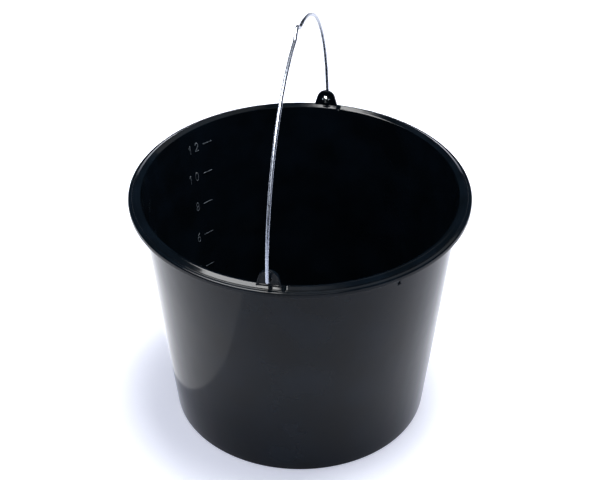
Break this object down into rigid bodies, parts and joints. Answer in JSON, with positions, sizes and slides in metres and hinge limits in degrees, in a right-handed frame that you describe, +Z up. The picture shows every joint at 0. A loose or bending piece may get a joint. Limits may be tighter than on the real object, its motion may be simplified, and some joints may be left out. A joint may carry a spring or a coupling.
{
  "type": "bucket",
  "caption": "Tapered round bucket moulded in black plastic, with a turned-over collar, two pivot ears, an inside litre scale and a kinked wire bail with domed end caps.",
  "frame": {"origin": "middle of the foot ring, on the surface the bucket stands on", "axes": "+Z up along the bucket's axis; Y along the bail's pivot axis, with the front ear at -Y; +X to the side of the air hole"},
  "size_m": [0.316, 0.32, 0.4046],
  "materials": {
    "black_plastic": "satin",
    "galvanised_wire": "satin",
    "plated_cap": "polished"
  },
  "bodies": {
    "bucket": {"bucket_body": "black_plastic"},
    "bail": {"bail_wire": "galvanised_wire", "bail_cap_front": "plated_cap", "bail_cap_back": "plated_cap"}
  },
  "joints": [
    {"name": "bail_pivot", "type": "hinge", "parent": "bucket", "child": "bail", "pos_m": [0, 0, 0.246], "axis": [0, 1, 0], "range_deg": [-90.5, 92.3]}
  ]
}
